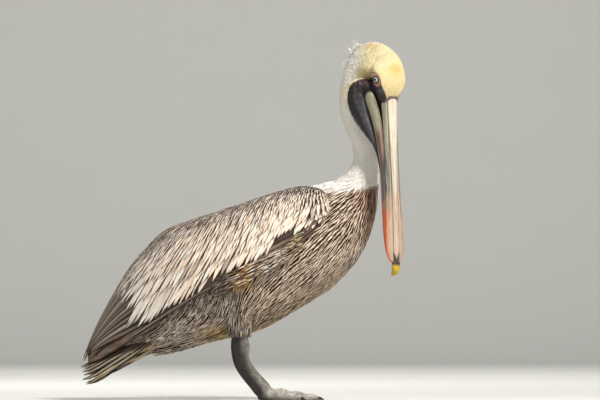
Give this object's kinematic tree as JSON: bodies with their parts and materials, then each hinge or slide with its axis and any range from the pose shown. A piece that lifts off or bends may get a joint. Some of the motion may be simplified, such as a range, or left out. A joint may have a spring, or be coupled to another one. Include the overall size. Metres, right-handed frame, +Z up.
{
  "type": "brown pelican model",
  "caption": "Still life-size model of an adult brown pelican, standing with its bill laid down along the breast.",
  "frame": {"origin": "centre of the bounding box seen from above, on the floor under the soles", "axes": "+X the way the body faces, +Y to the bird's left, +Z up"},
  "size_m": [0.5641, 0.2252, 0.6245],
  "materials": {
    "plumage_brown": "soft barbed feathers, brown with fine pale shafts",
    "wing_pale": "soft barbed feathers, pinkish cream with dark gaps",
    "flight_dark": "stiff flight feathers, dark grey-brown",
    "neck_white": "short dense white feathers",
    "crown_cream": "short dense cream-yellow feathers, bare dark skin round the eye",
    "bill_ivory": "dull horn, ivory with pink and grey streaks",
    "nail_yellow": "dull yellow horn",
    "branch_olive": "dull horn, pale olive to dark grey",
    "pouch_slate": "bare folded skin, blackish slate",
    "eye_pale": "wet eye, pale iris",
    "leg_grey": "scaly bare skin, mottled grey",
    "claw_dark": "dull dark horn"
  },
  "bodies": {
    "root": {"head": "crown_cream", "eye_right": "eye_pale", "eye_left": "eye_pale", "upper_bill": "bill_ivory", "bill_nail": "nail_yellow", "lower_bill": "branch_olive", "pouch": "pouch_slate", "neck_upper": "neck_white", "neck_lower": "neck_white", "trunk": "plumage_brown", "wing_right": "wing_pale", "wing_left": "wing_pale", "primaries_right": "flight_dark", "primaries_left": "flight_dark", "tail": "flight_dark", "thigh_right": "plumage_brown", "thigh_left": "plumage_brown", "shank_right": "leg_grey", "shank_left": "leg_grey", "foot_right": "leg_grey", "foot_left": "leg_grey", "claw_right_middle": "claw_dark", "claw_right_outer": "claw_dark", "claw_right_inner": "claw_dark", "claw_right_hind": "claw_dark", "claw_left_middle": "claw_dark", "claw_left_outer": "claw_dark", "claw_left_inner": "claw_dark", "claw_left_hind": "claw_dark"}
  },
  "joints": []
}
